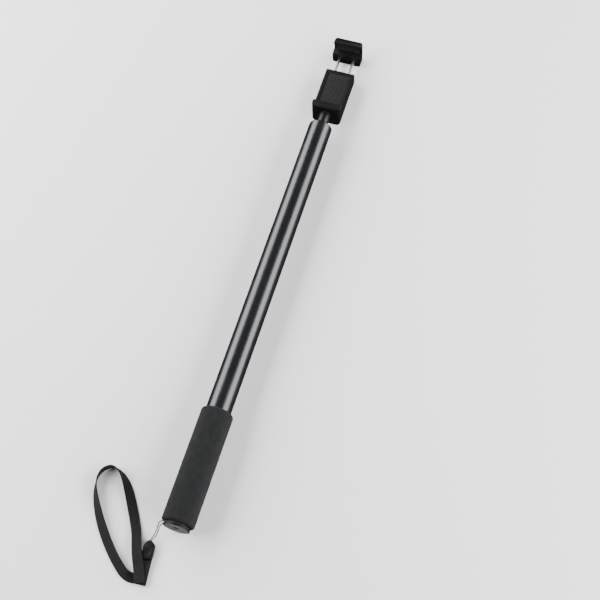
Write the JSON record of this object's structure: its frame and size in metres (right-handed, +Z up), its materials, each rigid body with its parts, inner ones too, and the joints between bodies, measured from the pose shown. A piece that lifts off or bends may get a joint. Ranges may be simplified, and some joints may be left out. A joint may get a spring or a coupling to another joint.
{
  "type": "selfie stick",
  "caption": "Telescopic handheld stick with a foam grip, a sprung phone clamp, a tripod socket in its end cap and a webbing wrist strap.",
  "frame": {"origin": "centre of the base of the stick's bounding box as it lies on its back, strap left out: on the ground below the middle of the collapsed stick", "axes": "+X along the stick from the end cap to the clamp, +Z up out of the open front of the clamp, +Y to the left looking along +X"},
  "size_m": [0.6247, 0.1076, 0.032],
  "materials": {
    "gloss_black_metal": "gloss black anodised",
    "black_foam": "matt fine-grained foam",
    "grey_disc": "satin grey",
    "black_plastic": "fine moulded texture",
    "black_rubber": "ribbed matt rubber",
    "brass": "turned",
    "steel": "polished",
    "spring_steel": "drawn wire",
    "black_steel": "black oxide",
    "white_nylon": "moulded nylon",
    "black_webbing": "woven nylon",
    "black_cord": "braided"
  },
  "bodies": {
    "grip": {"outer_tube": "gloss_black_metal", "foam_grip": "black_foam", "end_cap": "black_plastic", "cap_disc": "grey_disc", "socket_insert": "brass", "guide_ring_1": "white_nylon", "strap_cord": "black_cord", "strap_connector": "black_plastic", "strap_tab": "black_webbing", "strap_webbing": "black_webbing"},
    "section_2": {"tube_2": "gloss_black_metal", "brake_bush_2": "white_nylon", "end_plug_2": "black_plastic", "guide_ring_2": "white_nylon"},
    "section_3": {"tube_3": "gloss_black_metal", "brake_bush_3": "white_nylon", "end_plug_3": "black_plastic", "guide_ring_3": "white_nylon"},
    "section_4": {"tube_4": "gloss_black_metal", "brake_bush_4": "white_nylon", "end_plug_4": "black_plastic", "head_plug": "black_plastic", "screw_stud": "steel", "rubber_washer": "black_rubber"},
    "clamp": {"clamp_body": "black_plastic", "clamp_back_cover": "black_plastic", "clamp_nut": "brass", "lower_jaw_pad": "black_rubber", "back_pad": "black_rubber", "cover_screw_1": "black_steel", "cover_screw_2": "black_steel", "cover_screw_3": "black_steel", "cover_screw_4": "black_steel", "return_spring_left": "spring_steel", "return_spring_right": "spring_steel"},
    "jaw": {"upper_jaw": "black_plastic", "upper_jaw_pad": "black_rubber", "guide_rod_left": "steel", "guide_rod_right": "steel", "rod_clip_left": "black_steel", "rod_clip_right": "black_steel"}
  },
  "joints": [
    {"name": "section_2_slide", "type": "slide", "parent": "grip", "child": "section_2", "axis": [1, 0, 0], "range_m": [0, 0.394]},
    {"name": "section_3_slide", "type": "slide", "parent": "section_2", "child": "section_3", "axis": [1, 0, 0], "range_m": [0, 0.384]},
    {"name": "section_4_slide", "type": "slide", "parent": "section_3", "child": "section_4", "axis": [1, 0, 0], "range_m": [0, 0.3735]},
    {"name": "clamp_swivel", "type": "hinge", "parent": "section_4", "child": "clamp", "pos_m": [0.19075, 0, 0.016], "axis": [1, 0, 0], "range_deg": [-180, 180]},
    {"name": "jaw_slide", "type": "slide", "parent": "clamp", "child": "jaw", "axis": [1, 0, 0], "range_m": [-0.0207, 0.0083], "stiffness_N_per_m": 250, "springref_m": -0.055, "deforming": ["return_spring_left", "return_spring_right"]}
  ]
}
